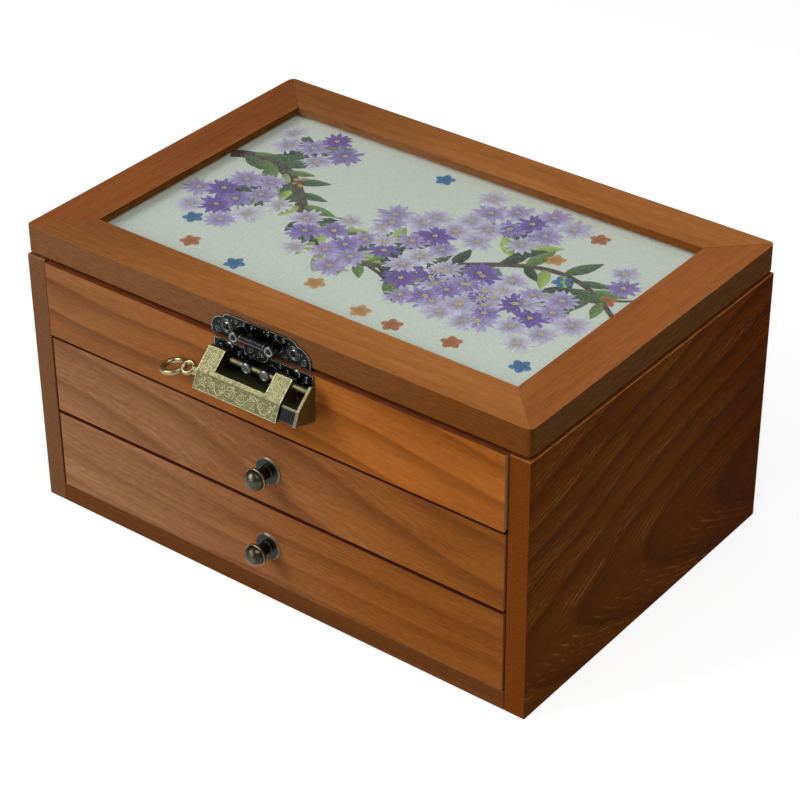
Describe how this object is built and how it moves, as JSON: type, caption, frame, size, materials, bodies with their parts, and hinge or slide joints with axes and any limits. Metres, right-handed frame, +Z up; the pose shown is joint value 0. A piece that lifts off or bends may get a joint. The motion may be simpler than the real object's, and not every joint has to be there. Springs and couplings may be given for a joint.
{
  "type": "keepsake box",
  "caption": "Wooden keepsake box with a hinged glazed lid over an embroidered silk panel, a tray, pull-out drawers with round knobs, and a hasp with a hanging brass padlock.",
  "frame": {"origin": "middle of the underside of the case, on the surface it stands on", "axes": "+X to the right along the width, -Y to the front with the drawers and the lock, +Z up"},
  "size_m": [0.3, 0.2278, 0.1588],
  "materials": {
    "wood_case": "satin varnish",
    "wood_front": "satin varnish",
    "wood_lid": "satin varnish",
    "wood_inner": "plain sanded",
    "lining": "short velvet pile",
    "glass": "clear",
    "silk": "embroidered silk",
    "hinge_brass": "aged",
    "hasp_black": "black antique with worn edges",
    "lock_brass": "antique with engraved scrolls",
    "spring_steel": "dark",
    "key_brass": "polished",
    "knob_bronze": "dark antique",
    "screw_steel": "plated"
  },
  "bodies": {
    "case": {"left_side": "wood_case", "right_side": "wood_case", "back_panel": "wood_case", "bottom_panel": "wood_case", "upper_front": "wood_front", "tray_floor": "wood_inner", "drawer_divider": "wood_inner", "tray_lining": "lining", "case_hinge_leaves": "hinge_brass", "hinge_pins": "hinge_brass", "case_hinge_screws": "hinge_brass", "lower_hasp_plate": "hasp_black", "lower_hasp_nails": "hasp_black"},
    "lid": {"lid_front_rail": "wood_lid", "lid_back_rail": "wood_lid", "lid_left_rail": "wood_lid", "lid_right_rail": "wood_lid", "lid_glass": "glass", "lid_silk": "silk", "lid_backing": "wood_inner", "lid_base": "wood_inner", "upper_hasp_plate": "hasp_black", "upper_hasp_nails": "hasp_black", "tongue_pin": "hasp_black", "lid_hinge_leaves": "hinge_brass", "lid_hinge_screws": "hinge_brass"},
    "tongue": {"hasp_tongue": "hasp_black"},
    "lock": {"lock_body": "lock_brass"},
    "shackle": {"lock_shackle": "lock_brass", "lock_springs": "spring_steel"},
    "key": {"lock_key": "key_brass"},
    "upper_drawer": {"upper_drawer_front": "wood_front", "upper_drawer_left": "wood_inner", "upper_drawer_right": "wood_inner", "upper_drawer_back": "wood_inner", "upper_drawer_bottom": "wood_inner", "upper_drawer_lining": "lining", "upper_knob_plate": "knob_bronze", "upper_knob": "knob_bronze", "upper_knob_screw": "screw_steel"},
    "lower_drawer": {"lower_drawer_front": "wood_front", "lower_drawer_left": "wood_inner", "lower_drawer_right": "wood_inner", "lower_drawer_back": "wood_inner", "lower_drawer_bottom": "wood_inner", "lower_drawer_lining": "lining", "lower_knob_plate": "knob_bronze", "lower_knob": "knob_bronze", "lower_knob_screw": "screw_steel"}
  },
  "joints": [
    {"name": "lid_hinge", "type": "hinge", "parent": "case", "child": "lid", "pos_m": [0, 0.1039, 0.1435], "axis": [-1, 0, 0], "range_deg": [0, 105]},
    {"name": "tongue_hinge", "type": "hinge", "parent": "lid", "child": "tongue", "pos_m": [-0.0006, -0.1066, 0.1493], "axis": [-1, 0, 0], "range_deg": [0, 160]},
    {"name": "lock_swing", "type": "hinge", "parent": "case", "child": "lock", "pos_m": [0, -0.108, 0.1362], "axis": [-1, 0, 0], "range_deg": [0, 70]},
    {"name": "shackle_slide", "type": "slide", "parent": "lock", "child": "shackle", "axis": [1, 0, 0], "range_m": [-0.0091, 0.024]},
    {"name": "key_slide", "type": "slide", "parent": "lock", "child": "key", "axis": [-1, 0, 0], "range_m": [0, 0.03]},
    {"name": "upper_drawer_slide", "type": "slide", "parent": "case", "child": "upper_drawer", "axis": [0, -1, 0], "range_m": [0, 0.15]},
    {"name": "lower_drawer_slide", "type": "slide", "parent": "case", "child": "lower_drawer", "axis": [0, -1, 0], "range_m": [0, 0.15]}
  ]
}
